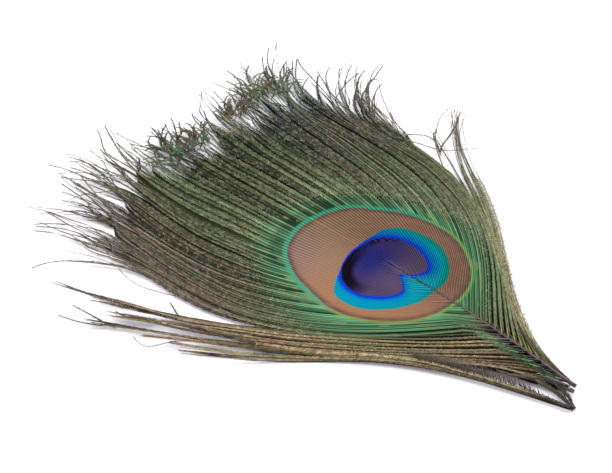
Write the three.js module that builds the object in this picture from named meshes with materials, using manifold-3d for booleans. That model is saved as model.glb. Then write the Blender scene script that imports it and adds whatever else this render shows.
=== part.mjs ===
// The eye feather of a peacock, cut short below the eye and lying face up on a flat surface.
// Millimetres, Z up. The cut end of the shaft is towards -Y and the tip of the feather towards +Y.
// Three pieces: the shaft, and the vane on each side of it. Each vane is one solid of locks of barbs,
// joined side by side along the lower part of the barbs and free at their tips.

import * as THREE from "three";
import { mergeVertices } from "three/addons/utils/BufferGeometryUtils.js";
import Module from "manifold-3d";

// Shaft: it runs up +Y, bows to one side at its cut end and ends inside the eye.
const SHAFT_LENGTH = 54;
const SHAFT_CUT_RADIUS = 0.6;
const SHAFT_TIP_RADIUS = 0.2;
const SHAFT_BOW = 2;
const SHAFT_BOW_LENGTH = 38;
const SHAFT_BOW_POWER = 1.5; // above 1, the bow is sharpest at the cut end
const SHAFT_RISE = 0.45; // axis above the underside of the vanes
const SHAFT_RINGS = 27;
const ROD_SIDES = 10;

// A strip of the shaft's skin, split off at the cut end, that carries the lowest barbs on the left.
const STRIP_START = new THREE.Vector2(-2.2, 1.2);
const STRIP_END = new THREE.Vector2(-8.2, -5.4);
const STRIP_RADIUS = 0.4;
const STRIP_TIP_RADIUS = 0.25;
const STRIP_RINGS = 4;

// Vanes
const LOCKS_PER_VANE = 30;
const ROWS = 14; // steps along each lock
const VANE_THICKNESS = 0.6;
const LOCK_RIDGE = 0.3; // height of the roof along the middle of each lock
const ROOT_GAP = 0.3; // clearance between a vane and the shaft
const MIN_SPREAD = 0.15; // least spacing of two neighbouring lines, where the barbs bunch up
const STATION_BIAS = 1.4; // above 1, the locks stand closer together towards the tip of the shaft
const WIDEST_TIP = 1.5; // half width of a lock just past its split
const TIP_WIDTH = 0.18; // width left at the tip, as a share
const TIP_TAPER_POWER = 1.2; // above 1, a lock keeps its width longer before it narrows
const FIRST_SPLIT_ROW = 8; // the locks part from each other between this row
const SPLIT_ROW_RANGE = 4; // and this many rows further on
const GAP_SPLIT_ROW = 7; // where a vane falls open in two
const TIP_LIFT = 6; // most that a lock's tip curls up
const GOLDEN = 0.618034; // spreads the split rows and the lifts of the locks evenly

// The feather arches over the surface: an elliptic dome, with everything past its rim lying flat.
const ARCH_HEIGHT = 1.8;
const ARCH_HALF_WIDTH = 35;
const ARCH_HALF_LENGTH = 64;
const ARCH_CENTRE_Y = 50;

// Key barbs, in the order of their roots down the shaft. Each row holds the station of the root along
// the shaft, the length, the lean away from +Y in degrees at the root, at one third, at two thirds and
// at the tip, and the extra outward curl of the last third. Stations below 0 are on the split strip.
const RIGHT_VANE = {
  side: 1,
  lowestRoot: 0,
  gapStation: 12.5,
  barbs: [
    [54, 81, -1.5, 0, 0, 0, 0],
    [51, 81, 17, 5, 0, 6, 11],
    [48, 96, 31, 7, 3, 13, 24],
    [45, 93, 37, 16, 4, 7, 15],
    [42, 98, 44, 21, 4, 7, 16],
    [39, 100, 47, 25, 5, 2, 20],
    [36, 110, 50, 26, 2, 22, 43],
    [33, 114, 50, 28, -3, 11, 75],
    [30, 111, 51, 32, 1, 15, 44],
    [26, 114, 49, 35, -1, 21, 58],
    [21, 110, 46, 38, 6, 12, 55],
    [17, 108, 40, 39, 8, 12, 55],
    [15, 104, 40, 38, 14, 5, 40],
    [13, 95, 39, 40, 20, -3, 21],
    [12, 84, 38, 39, 33, 4, 15],
    [7, 100, 14, 45, 27, 15, 51],
    [3, 85, 18, 40, 41, 2, 13],
    [0, 102, 7, 43, 32, 4, 68],
  ],
};
const LEFT_VANE = {
  side: -1,
  lowestRoot: -6,
  gapStation: 22.9,
  barbs: [
    [54, 82, -1.5, 0, 3, 3, 7],
    [51, 86, 17, 4, 0, 5, 11],
    [47, 99, 35, 10, 4, -2, -5],
    [44, 104, 41, 15, 1, 0, 3],
    [40, 109, 42, 21, -1, 6, 16],
    [36, 105, 47, 27, 3, 0, 6],
    [30, 122, 47, 30, -2, 7, 43],
    [26, 122, 48, 32, 3, 8, 25],
    [23.5, 112, 50, 34, 9, 6, 27],
    [22.3, 105, 52, 36, 28, 10, 7],
    [17, 100, 50, 36, 26, 16, 11],
    [12, 105, 44, 37, 31, 35, 0],
    [7, 105, 37, 36, 32, 27, 8],
    [2, 100, 27, 36, 34, 31, 11],
    [-3, 94, 19, 31, 38, 32, 0],
    [-6, 89, 20, 24, 41, 39, -4],
  ],
};

const CURL_START = 0.7; // share of the barb's length after which it curls
const CURL_POWER = 1.5; // above 1, the curl tightens towards the tip
const STEPS_PER_ROW = 6; // steps of a barb's line for each row of the solid

// Height of the underside above the surface.
function restHeight(x, y) {
  const across = x / ARCH_HALF_WIDTH;
  const along = (y - ARCH_CENTRE_Y) / ARCH_HALF_LENGTH;
  return ARCH_HEIGHT * Math.max(0, 1 - across ** 2 - along ** 2);
}

// Shaft -------------------------------------------------------------------------------------------

function shaftX(y) {
  return -SHAFT_BOW * Math.max(0, 1 - y / SHAFT_BOW_LENGTH) ** SHAFT_BOW_POWER;
}

function shaftRadius(y) {
  return THREE.MathUtils.lerp(SHAFT_CUT_RADIUS, SHAFT_TIP_RADIUS, y / SHAFT_LENGTH);
}

// A closed rod along +Y from 0 to length, with a flat end at each side.
function taperedRod(length, startRadius, endRadius, rings) {
  const profile = [new THREE.Vector2(0, 0)];
  for (let ring = 0; ring <= rings; ring++) {
    const share = ring / rings;
    const radius = THREE.MathUtils.lerp(startRadius, endRadius, share);
    profile.push(new THREE.Vector2(radius, share * length));
  }
  profile.push(new THREE.Vector2(0, length));
  return new THREE.LatheGeometry(profile, ROD_SIDES);
}

function moveVertices(geometry, move) {
  const position = geometry.attributes.position;
  const point = new THREE.Vector3();
  for (let index = 0; index < position.count; index++) {
    point.fromBufferAttribute(position, index);
    move(point);
    position.setXYZ(index, point.x, point.y, point.z);
  }
  return geometry;
}

function quillGeometry() {
  const rod = taperedRod(SHAFT_LENGTH, SHAFT_CUT_RADIUS, SHAFT_TIP_RADIUS, SHAFT_RINGS);
  return moveVertices(rod, (point) => {
    const centreX = shaftX(point.y);
    point.z += restHeight(centreX, point.y) + SHAFT_RISE;
    point.x += centreX;
  });
}

function stripGeometry() {
  const run = STRIP_END.clone().sub(STRIP_START);
  const rod = taperedRod(run.length(), STRIP_RADIUS, STRIP_TIP_RADIUS, STRIP_RINGS);
  rod.rotateZ(run.angle() - Math.PI / 2);
  rod.translate(STRIP_START.x, STRIP_START.y, 0);
  return moveVertices(rod, (point) => {
    point.z += restHeight(point.x, point.y) + SHAFT_RISE;
  });
}

// Solid joining -----------------------------------------------------------------------------------

const wasm = await Module();
wasm.setup();

function toManifold(geometry) {
  const bare = geometry.clone();
  bare.deleteAttribute("normal");
  bare.deleteAttribute("uv");
  const merged = mergeVertices(bare, 1e-4);
  const corners = merged.index.array;
  const triangles = [];
  for (let first = 0; first < corners.length; first += 3) {
    const triangle = [...corners.slice(first, first + 3)];
    if (new Set(triangle).size === 3) {
      triangles.push(...triangle);
    }
  }
  const vertProperties = new Float32Array(merged.attributes.position.array);
  const triVerts = new Uint32Array(triangles);
  return new wasm.Manifold(new wasm.Mesh({ numProp: 3, vertProperties, triVerts }));
}

function fromManifold(solid) {
  const mesh = solid.getMesh();
  const geometry = new THREE.BufferGeometry();
  geometry.setAttribute("position", new THREE.BufferAttribute(mesh.vertProperties, 3));
  geometry.setIndex(new THREE.BufferAttribute(mesh.triVerts, 1));
  geometry.computeVertexNormals();
  return geometry;
}

function shaftGeometry() {
  return fromManifold(toManifold(quillGeometry()).add(toManifold(stripGeometry())));
}

// Barbs -------------------------------------------------------------------------------------------

// Where a barb leaves the shaft, or the split strip below station 0.
function rootPoint(vane, station) {
  if (station >= 0) {
    const clear = shaftRadius(station) + ROOT_GAP;
    return new THREE.Vector2(shaftX(station) + vane.side * clear, station);
  }
  const run = STRIP_END.clone().sub(STRIP_START);
  const outward = new THREE.Vector2(run.y, -run.x).normalize();
  const clear = STRIP_RADIUS + ROOT_GAP;
  const share = station / vane.lowestRoot;
  return STRIP_START.clone().addScaledVector(run, share).addScaledVector(outward, clear);
}

// The key barbs' values, interpolated for a root at any station.
function barbAt(vane, station) {
  const next = Math.max(1, vane.barbs.findIndex((barb) => barb[0] <= station));
  const upper = vane.barbs[next - 1];
  const lower = vane.barbs[next];
  const share = (upper[0] - station) / (upper[0] - lower[0]);
  const [, length, root, third, twoThirds, tip, curl] = upper.map((value, index) =>
    THREE.MathUtils.lerp(value, lower[index], share),
  );
  return { length, leans: [root, third, twoThirds, tip], curl };
}

// Cubic through four evenly spaced leans, at t from 0 to 1 along the barb.
function leanAt([root, third, twoThirds, tip], t) {
  const u = 3 * t;
  const fromRoot = (root * (1 - u) * (2 - u) * (3 - u)) / 6;
  const fromThird = (third * u * (2 - u) * (3 - u)) / 2;
  const fromTwoThirds = (twoThirds * u * (u - 1) * (3 - u)) / 2;
  const fromTip = (tip * u * (u - 1) * (u - 2)) / 6;
  return fromRoot + fromThird + fromTwoThirds + fromTip;
}

// Plan of one barb: ROWS + 1 points from the root to the tip.
function barbLine(vane, station) {
  const { length, leans, curl } = barbAt(vane, station);
  const steps = ROWS * STEPS_PER_ROW;
  const point = rootPoint(vane, station);
  const line = [point.clone()];
  for (let step = 0; step < steps; step++) {
    const t = (step + 0.5) / steps;
    const curled = Math.max(0, (t - CURL_START) / (1 - CURL_START)) ** CURL_POWER;
    const lean = THREE.MathUtils.degToRad(leanAt(leans, t) + curl * curled);
    point.x += (vane.side * Math.sin(lean) * length) / steps;
    point.y += (Math.cos(lean) * length) / steps;
    if ((step + 1) % STEPS_PER_ROW === 0) {
      line.push(point.clone());
    }
  }
  return line;
}

// Moves a line out until it lies beside its inner neighbour, so bunched barbs never cross.
function besideNeighbour(line, neighbour, side) {
  return line.map((point, row) => {
    if (row === 0) {
      return point;
    }
    const ahead = neighbour[Math.min(row + 1, ROWS)];
    const along = ahead.clone().sub(neighbour[row - 1]).normalize();
    const outward = new THREE.Vector2(along.y, -along.x).multiplyScalar(side);
    const spread = point.clone().sub(neighbour[row]).dot(outward);
    return point.clone().addScaledVector(outward, Math.max(0, MIN_SPREAD - spread));
  });
}

// Locks -------------------------------------------------------------------------------------------

// Lines from the middle of the feather outwards: two edges and a ridge for each lock, edges shared.
function vaneLines(vane) {
  const count = 2 * LOCKS_PER_VANE;
  const lines = [];
  for (let index = 0; index <= count; index++) {
    const share = (index / count) ** STATION_BIAS;
    const line = barbLine(vane, THREE.MathUtils.lerp(SHAFT_LENGTH, vane.lowestRoot, share));
    lines.push(index === 0 ? line : besideNeighbour(line, lines[index - 1], vane.side));
  }
  return lines;
}

function spreadShare(index) {
  return (index * GOLDEN) % 1;
}

// Row where lock number `lock` and the next one out part.
function splitRow(vane, lock) {
  const gapShare = (SHAFT_LENGTH - vane.gapStation) / (SHAFT_LENGTH - vane.lowestRoot);
  const gapLock = Math.round(LOCKS_PER_VANE * gapShare ** (1 / STATION_BIAS)) - 1;
  if (lock === gapLock) {
    return GAP_SPLIT_ROW;
  }
  return FIRST_SPLIT_ROW + Math.floor(SPLIT_ROW_RANGE * spreadShare(lock + 2));
}

// An edge point of a lock: on the shared line up to the split, then drawn in to the ridge.
function edgePoint(edgeLine, ridgeLine, row, split) {
  if (row <= split) {
    return edgeLine[row];
  }
  const reach = edgeLine[row].clone().sub(ridgeLine[row]);
  const width = Math.min(reach.length(), WIDEST_TIP);
  const freeShare = (row - split) / (ROWS - split);
  const taper = 1 - (1 - TIP_WIDTH) * freeShare ** TIP_TAPER_POWER;
  return ridgeLine[row].clone().addScaledVector(reach.normalize(), width * taper);
}

// The sections of one lock, row by row: its inner edge, ridge and outer edge, below and above.
function lockSections(vane, lines, lock) {
  const [innerLine, ridgeLine, outerLine] = lines.slice(2 * lock, 2 * lock + 3);
  const innerSplit = splitRow(vane, lock - 1);
  const outerSplit = splitRow(vane, lock);
  const liftStart = Math.max(innerSplit, outerSplit);
  const tipLift = TIP_LIFT * spreadShare(3 * lock + 1) ** 2;
  return ridgeLine.map((ridge, row) => {
    const inner = edgePoint(innerLine, ridgeLine, row, innerSplit);
    const outer = edgePoint(outerLine, ridgeLine, row, outerSplit);
    const free = Math.max(0, (row - liftStart) / (ROWS - liftStart));
    const lift = tipLift * free ** 2;
    const raised = (point, height) =>
      new THREE.Vector3(point.x, point.y, restHeight(point.x, point.y) + lift + height);
    return {
      innerBottom: raised(inner, 0),
      outerBottom: raised(outer, 0),
      innerTop: raised(inner, VANE_THICKNESS),
      ridgeTop: raised(ridge, VANE_THICKNESS + LOCK_RIDGE),
      outerTop: raised(outer, VANE_THICKNESS),
    };
  });
}

// Vane --------------------------------------------------------------------------------------------

function vaneGeometry(vane) {
  const corners = [];
  const triangle = (a, b, c) => {
    const turn = vane.side > 0 ? [a, b, c] : [a, c, b];
    corners.push(...turn.flatMap((corner) => corner.toArray()));
  };
  const quad = (a, b, c, d) => {
    triangle(a, b, c);
    triangle(a, c, d);
  };
  const endFace = (end) => {
    quad(end.innerBottom, end.outerBottom, end.outerTop, end.innerTop);
    triangle(end.innerTop, end.outerTop, end.ridgeTop);
  };
  const lines = vaneLines(vane);
  for (let lock = 0; lock < LOCKS_PER_VANE; lock++) {
    const sections = lockSections(vane, lines, lock);
    const innerJoin = lock === 0 ? 0 : splitRow(vane, lock - 1);
    const outerJoin = lock === LOCKS_PER_VANE - 1 ? 0 : splitRow(vane, lock);
    for (let row = 0; row < ROWS; row++) {
      const near = sections[row];
      const far = sections[row + 1];
      quad(near.innerTop, near.ridgeTop, far.ridgeTop, far.innerTop);
      quad(near.ridgeTop, near.outerTop, far.outerTop, far.ridgeTop);
      quad(near.outerBottom, near.innerBottom, far.innerBottom, far.outerBottom);
      if (row >= innerJoin) {
        quad(far.innerBottom, near.innerBottom, near.innerTop, far.innerTop);
      }
      if (row >= outerJoin) {
        quad(near.outerBottom, far.outerBottom, far.outerTop, near.outerTop);
      }
    }
    endFace(sections[0]);
    const tip = sections[ROWS];
    endFace({
      innerBottom: tip.outerBottom,
      outerBottom: tip.innerBottom,
      innerTop: tip.outerTop,
      outerTop: tip.innerTop,
      ridgeTop: tip.ridgeTop,
    });
  }
  const geometry = new THREE.BufferGeometry();
  geometry.setAttribute("position", new THREE.Float32BufferAttribute(corners, 3));
  const merged = mergeVertices(geometry, 1e-4);
  merged.computeVertexNormals();
  return merged;
}

// Feather -----------------------------------------------------------------------------------------

const shaftKeratin = new THREE.MeshStandardMaterial({ color: 0x5a4448, roughness: 0.45, metalness: 0 });
const leftBarbs = new THREE.MeshStandardMaterial({ color: 0x5d6240, roughness: 0.6, metalness: 0.2 });
const rightBarbs = leftBarbs.clone();

function namedMesh(name, geometry, material) {
  const mesh = new THREE.Mesh(geometry, material);
  mesh.name = name;
  return mesh;
}

const feather = new THREE.Group();
feather.add(namedMesh("shaft", shaftGeometry(), shaftKeratin));
feather.add(namedMesh("left_vane", vaneGeometry(LEFT_VANE), leftBarbs));
feather.add(namedMesh("right_vane", vaneGeometry(RIGHT_VANE), rightBarbs));

// The origin is under the middle of the feather, on the surface it lies on.
const extent = new THREE.Box3().setFromObject(feather);
const middle = extent.getCenter(new THREE.Vector3());
feather.position.set(-middle.x, -middle.y, -extent.min.z);

export default feather;
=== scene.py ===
"""The looks of a peacock's eye feather, lying face up.

The solids give way to what a feather is made of: barbs that grow out of the shaft, each a fine rib
with rows of barbules on both sides. Inside the eye the barbules lie flat and close, as a web between
the ribs; outside it they stand loose. Plan coordinates are millimetres from the cut end of the shaft,
+Y towards the feather's tip. The pieces are written in metres, in the frame of the solids.
"""

import math

import bpy
import numpy as np
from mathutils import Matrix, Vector


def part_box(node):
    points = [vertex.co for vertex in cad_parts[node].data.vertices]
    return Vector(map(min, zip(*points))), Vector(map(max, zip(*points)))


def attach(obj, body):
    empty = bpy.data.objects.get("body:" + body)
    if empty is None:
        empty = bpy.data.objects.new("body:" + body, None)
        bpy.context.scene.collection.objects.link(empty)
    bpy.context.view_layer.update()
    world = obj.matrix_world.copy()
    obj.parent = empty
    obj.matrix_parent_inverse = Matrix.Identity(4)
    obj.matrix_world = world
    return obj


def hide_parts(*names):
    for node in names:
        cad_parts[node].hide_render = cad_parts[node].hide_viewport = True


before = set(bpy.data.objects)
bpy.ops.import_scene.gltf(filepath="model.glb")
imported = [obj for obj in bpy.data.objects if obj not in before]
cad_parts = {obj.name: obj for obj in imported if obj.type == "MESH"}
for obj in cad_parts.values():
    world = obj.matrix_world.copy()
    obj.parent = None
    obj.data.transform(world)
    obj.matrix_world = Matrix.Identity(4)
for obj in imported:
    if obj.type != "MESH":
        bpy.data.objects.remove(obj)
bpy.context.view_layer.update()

MM = 0.001
SEED = 7

# --- Shaft ---

SHAFT_LENGTH = 54.0
SHAFT_BOW = 2.0
SHAFT_BOW_LENGTH = 38.0
SHAFT_OVERHANG = 1.5  # of the shaft's ragged end, past the clean cut
SHAFT_SIDE = 0.32  # half width of the shaft where it stops bowing
SHAFT_RADII = [(0.0, 0.5), (6.0, 0.42), (20.0, 0.3), (40.0, 0.2), (SHAFT_LENGTH, 0.08)]
SHAFT_LEVEL = 0.7  # the shaft's axis above the underside of the vanes
STEM_LEVEL = 0.6
STRIP_START = np.array([-2.2, 1.2])
STRIP_END = np.array([-8.2, -5.4])
STRIP_STATIONS = 6.0  # stations of barbs on the strip, below station 0

# The plan's origin, from the shaft's box: its tip is at y = SHAFT_LENGTH, its side at x = SHAFT_SIDE.
shaft_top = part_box("shaft")[1]
PLAN_ORIGIN = np.array([shaft_top.x / MM - SHAFT_SIDE, shaft_top.y / MM - SHAFT_LENGTH, 0.0])

# The feather arches over the surface, and lies flat past the rim of the arch.
ARCH_HEIGHT = 1.8
ARCH_HALF_WIDTH = 35.0
ARCH_HALF_LENGTH = 64.0
ARCH_CENTRE_Y = 50.0
VANE_LEVEL = 0.75  # barbs above the underside of the vane
LOWEST_BARB = 0.25  # above the surface
LOWEST_BARBULE = 0.05

# --- Barbs ---

BARB_PITCH = 0.52  # along the shaft
BARB_POINTS = 57
ALONG = np.linspace(0.0, 1.0, BARB_POINTS)  # share of the way along a barb, at each of its points
CURL_START = 0.7
KINKS = 5.0  # waves in the length of a barb, of the crinkle near its tip
WAVES = 1.9  # and of its slow sway
BUNCHED_WILDNESS = 0.3  # share of the random differences that is left between bunched barbs
RIB_RADIUS = 0.1
TIP_LIFT = 3.6  # of the tips that curl up most
MEAN_TONE = 0.37  # of the barbs' tones, which run from 0, dark, to 1

# Guide barbs: station of the root, length, lean from +Y in degrees at the root, one third, two thirds
# and the tip, and the extra outward curl of the last third. Below station 0 the roots are on the strip.
RIGHT_GUIDES = [
    (54, 81, -1.5, 0, 0, 0, 0),
    (51, 81, 17, 5, 0, 6, 11),
    (48, 96, 31, 7, 3, 13, 24),
    (45, 93, 37, 16, 4, 7, 15),
    (42, 98, 44, 21, 4, 7, 16),
    (39, 100, 47, 25, 5, 2, 20),
    (36, 110, 50, 26, 2, 22, 43),
    (33, 114, 50, 28, -3, 11, 75),
    (30, 111, 51, 32, 1, 15, 44),
    (26, 114, 49, 35, -1, 21, 58),
    (21, 110, 46, 38, 6, 12, 55),
    (17, 108, 40, 39, 8, 12, 55),
    (15, 104, 36.3, 38.8, 14.5, 4.2, 40),
    (13, 95, 33.4, 41, 21.3, -6, 21),
    (12, 84, 35, 39, 33, 4, 15),
    (7, 96, 14.1, 41.5, 33.7, 21.2, 50),
    (3, 96, 11.3, 41.6, 38.1, -9.5, 40),
    (1.2, 104, 6.8, 42.6, 34.3, -3.3, 75),
    (0, 104, 6, 43.4, 34.3, -3.3, 75),
]
LEFT_GUIDES = [
    (54, 82, -1.5, 0, 0, 0, 3),
    (51, 86, 17, 4, 0, 5, 11),
    (47, 99, 35, 10, 4, -2, -5),
    (44, 104, 41, 15, 1, 0, 3),
    (40, 109, 42, 21, -1, 6, 16),
    (36, 105, 47, 27, 3, 0, 6),
    (30, 116, 47, 30, -2, 7, 43),
    (26, 122, 48, 32, 3, 8, 25),
    (23.5, 115, 50, 34, 9, 6, 27),
    (22.3, 106, 52, 36, 29, 11, 7),
    (21.5, 106, 52, 36, 29, 12, 7),
    (21.2, 99, 53, 36, 32, 27, 0),
    (17, 98, 50, 36, 31.5, 27, 6),
    (12, 105, 44, 37, 31, 35, 0),
    (7, 105, 37, 36, 32, 27, 8),
    (2, 100, 27, 36, 34, 31, 11),
    (-3, 94, 19, 31, 38, 32, 0),
    (-6, 91, 20, 24.5, 42.5, 42, -4),
]

# The barbs hang together in strands of a few, which stay apart from each other.
STRAND_SIZES = (1, 2, 2, 3)
LOW_STATION = 25.0  # below it the strands are even, and stand apart at their feet
LOW_STRAND_SIZE = 4
BUNCH_CLOSENESS = 0.42  # how far the barbs of a strand draw together where they lie bunched
EDGE_CLOSENESS = 0.65  # the same at the right edge
FOOT_CLOSENESS = 0.55  # the same at their feet
BUNCH_STATIONS = {1.0: 12.5, -1.0: 22.9}  # below it the barbs of a side lie bunched together
# Slits between the barbs of a side: the station of each, and the guide stations at its two edges.
SLITS = {1.0: [(5.0, 3.0, 7.0), (12.5, 12.0, 13.0)], -1.0: [(22.9, 22.3, 23.5)]}
BREAKS = {1.0: [], -1.0: [22.0, -0.3]}  # more stations where one strand ends and the next begins
STEM_STATIONS = (-0.3, 2.5)  # left barbs that start on the split stems
EDGE_STATION = -6.0  # the left barbs between it and the stems' lie along the feather's edge
EDGE_REACH = (24.0, 48.0)  # how far along those barbs they leave the edge
EDGE_PACKING = 0.11  # their distance from each other there, for each mm of station
FENCE_STATION = -3.6  # the barbs between it and the stems' have colourless barbules on the inside
STEM_REACH = (6.0, 16.0)  # how far along those barbs they leave the stem
FOOT_RUN = 3.6  # how far the foot of a left barb lies along the shaft before it turns out
FOOT_REACH = 6.5
PATCH_REACH = 6.5  # how far the first barbules of a low left strand shine green
PATCH_GREEN = 1.6  # their teal field; above 1 it turns green
PATCH_TONE = 0.7
EVENING_ROUNDS = 8
FRINGE_STATION = 5.0  # the right barbs below it have longer barbules on the outside

# Stray barbs: height of the tip over the vane, then the points of the free end in plan.
RIGHT_STRAYS = [
    (2.5, [(38.7, 70.6), (41.8, 75.1), (44.3, 78.5), (49.7, 81.8), (54.9, 83.7), (58.0, 83.4),
           (59.7, 81.8)]),
    (2.0, [(42.0, 74.5), (44.2, 76.3), (47.0, 76.3), (50.4, 76.9), (53.5, 77.9), (55.0, 79.4)]),
    (1.5, [(41.7, 87.9), (43.9, 82.8), (44.5, 79.4), (43.8, 77.7)]),
    (1.5, [(41.3, 83.6), (42.4, 79.3), (42.2, 75.4), (43.9, 72.7), (46.3, 70.3), (50.7, 66.4)]),
    (2.0, [(42.2, 74.3), (43.8, 76.8), (44.6, 79.0), (46.3, 80.2), (47.4, 79.8)]),
    (2.0, [(42.9, 98.6), (45.7, 103.2), (48.9, 106.1), (52.4, 107.5), (54.2, 106.9), (53.4, 105.1)]),
    (2.0, [(39.9, 83.0), (41.4, 87.6), (43.8, 92.4), (46.5, 97.1), (49.6, 101.5), (52.7, 104.6)]),
    (2.0, [(28.3, 127.7), (32.9, 130.6), (35.3, 131.3), (37.0, 131.0)]),
]
LEFT_STRAYS = [
    (2.0, [(-23.0, 126.3), (-24.9, 127.3), (-28.4, 128.8), (-33.4, 130.9), (-38.8, 131.7)]),
    (2.0, [(-21.3, 128.0), (-22.0, 131.1), (-23.7, 133.7), (-27.2, 137.5), (-31.5, 141.1)]),
    (2.0, [(-21.3, 130.3), (-21.3, 134.0), (-21.7, 137.4), (-23.0, 141.9), (-24.8, 145.7)]),
    (2.0, [(-25.5, 124.5), (-24.0, 127.5), (-23.1, 129.9), (-20.0, 136.1), (-19.3, 142.1)]),
    (2.0, [(-24.4, 124.9), (-24.4, 127.9), (-24.1, 131.1), (-25.5, 136.3), (-25.0, 141.7)]),
    (2.0, [(12.5, 119.1), (12.0, 121.5), (6.4, 127.1), (1.3, 129.6), (-2.5, 133.2)]),
    (2.0, [(-4.9, 127.8), (-5.7, 129.9), (-9.1, 132.5), (-10.7, 136.1)]),
    (3.0, [(-2.2, 126.0), (-0.5, 128.5), (1.4, 131.4), (3.4, 134.9)]),
    (0.5, [(-48.8, 71.8), (-50.7, 74.9), (-53.6, 77.9), (-56.6, 79.0), (-59.4, 80.1), (-60.2, 82.0),
           (-58.9, 85.6)]),
    (0.5, [(-59.2, 92.4), (-61.7, 94.7), (-64.5, 99.3), (-65.9, 104.0)]),
    (1.0, [(-59.4, 90.8), (-60.1, 94.2), (-61.1, 99.4), (-61.5, 103.4)]),
    (0.5, [(-41.6, 87.2), (-43.4, 90.8), (-45.8, 96.6), (-45.9, 102.0), (-44.2, 106.6)]),
    (1.0, [(-46.7, 81.4), (-46.5, 83.6), (-45.3, 86.9)]),
    (1.0, [(-50.5, 85.0), (-52.8, 88.1), (-56.2, 91.4), (-56.1, 94.3)]),
    (1.0, [(-39.6, 109.9), (-40.7, 113.8), (-42.5, 119.1), (-45.5, 125.3), (-46.3, 129.6), (-46.9, 134.1)]),
    (1.0, [(-33.8, 119.6), (-35.1, 123.3), (-37.0, 127.1), (-40.5, 132.2), (-44.3, 138.1)]),
    (0.5, [(-41.5, 98.2), (-42.9, 102.4), (-44.2, 106.6), (-45.4, 111.1), (-47.4, 116.1), (-49.5, 120.0)]),
    (1.5, [(-34.9, 117.7), (-35.3, 121.5), (-35.1, 125.4), (-33.6, 127.7)]),
]

# Stems beside the cut end: plan points, and the radius at the first and the last of them. The first
# is the second prong; the others join the strip's end to it, one over each side of a hole.
STEMS = [
    ([(-3.6, -2.2), (-4.3, 1.0), (-5.1, 3.9), (-7.3, 7.4), (-9.2, 11.2), (-10.5, 15.1)], 0.45, 0.24),
    ([(-7.5, -5.4), (-7.2, -2.4), (-6.8, 0.5), (-6.7, 2.8), (-7.0, 4.9), (-6.9, 7.3)], 0.38, 0.24),
    ([(-7.4, -5.2), (-5.7, -2.1), (-5.1, 0.0), (-4.5, 2.2), (-4.3, 3.5)], 0.3, 0.24),
]
# Short barbs on the stems, listed like the stray barbs.
STEM_FUZZ = [
    (0.0, [(-3.9, -0.7), (-5.1, 3.9), (-7.3, 7.4), (-9.2, 11.2)]),
    (0.0, [(-4.2, 0.6), (-5.4, 4.4), (-7.7, 8.0), (-9.9, 12.0)]),
    (0.0, [(-7.3, -4.0), (-6.8, 0.5), (-6.7, 2.8), (-7.0, 4.9), (-6.9, 7.3)]),
    (0.0, [(-7.0, -2.0), (-6.5, 1.0), (-6.4, 3.4), (-6.4, 6.0)]),
    (0.0, [(-6.9, -4.4), (-5.7, -2.1), (-5.1, 0.0), (-4.5, 2.2)]),
    (0.5, [(-6.9, -2.8), (-6.2, -0.6), (-5.7, 1.4), (-5.0, 2.4)]),
]

PLAN_LIMITS = ((-65.3, -10.0), (59.2, 147.0))  # no regular barb reaches past them

# Tufts where the tips fold over and their barbules shine green: plan place and size.
TUFTS = [
    ((-4.5, 124.5), 5.0), ((3.5, 124.0), 4.0), ((18.5, 125.5), 3.0), ((27.0, 125.0), 5.5),
    ((34.0, 124.5), 3.5),
]
TUFT_BARBS = 34
SHORT_BARB = 16.0  # stray barbs below this length are downy
STRAY_STATION = 10.0  # the stray barbs are coloured like the barbs at this station
STRAY_LAYER = 0.3  # above the other barbs
ROUNDING_ROUNDS = 40

# Barbules
BARBULE_PITCH = 0.19
BARBULE_LENGTH = 1.3
BARBULE_SPREAD = 0.9  # share of the full length for each mm between the barbs
BARBULE_WIDTH = 0.2
BARBULE_LEAN = 28.0  # degrees from the barb
BARBULE_RISE = 18.0  # degrees out of the vane
# The longest barbules as a share of BARBULE_LENGTH, the share that they lose towards the barb's tip,
# and where along the barb that loss starts and ends.
FAN_BARBULES = (1.6, 0.76, 0.78, 0.96)
BUNCH_BARBULES = {1.0: (0.65, 0.8, 0.66, 0.84), -1.0: (0.85, 0.7, 0.92, 1.0)}
PALE_TONE = 2.0  # a barbule tone above 1 marks the colourless barbules by the strip
# Where along the barb those barbules stand, their share of all there, and how much more they lean.
FENCE = ((3.0, 38.0), 0.6, 26.0)
FENCE_NEIGHBOUR_LEAN = 12.0  # how much more the barbules between them lean
FRINGE = ((16.0, 75.0), 0.35, 24.0)  # the same for the fringe of the right edge
LOWEST_UNDERLAY = -4.9  # the left barbs below this station have no barbules under them
OUTERMOST_UNDERLAY = 1.6  # the right barbs below this station have them at their feet only
UNDERLAY_DEPTH = 0.35  # the lower barbules, below the barbs, dark partly in their own colour and partly with painted shade
UNDERLAY_SPAN = (0.2, 999.0)  # along a barb
UNDERLAY_OVERLAP = 1.6  # of the ribbons, as a share of half the gap
WEB_OVERLAP = 1.06  # the same in the eye
WEB_SHADE = 0.5  # the barbule's tone of the web in the eye; the lower barbules have 0, which gives them their painted shade
RIBBON_CREASE = 0.07
UV_LENGTH = 125.0  # length along a barb that the map's width holds

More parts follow.
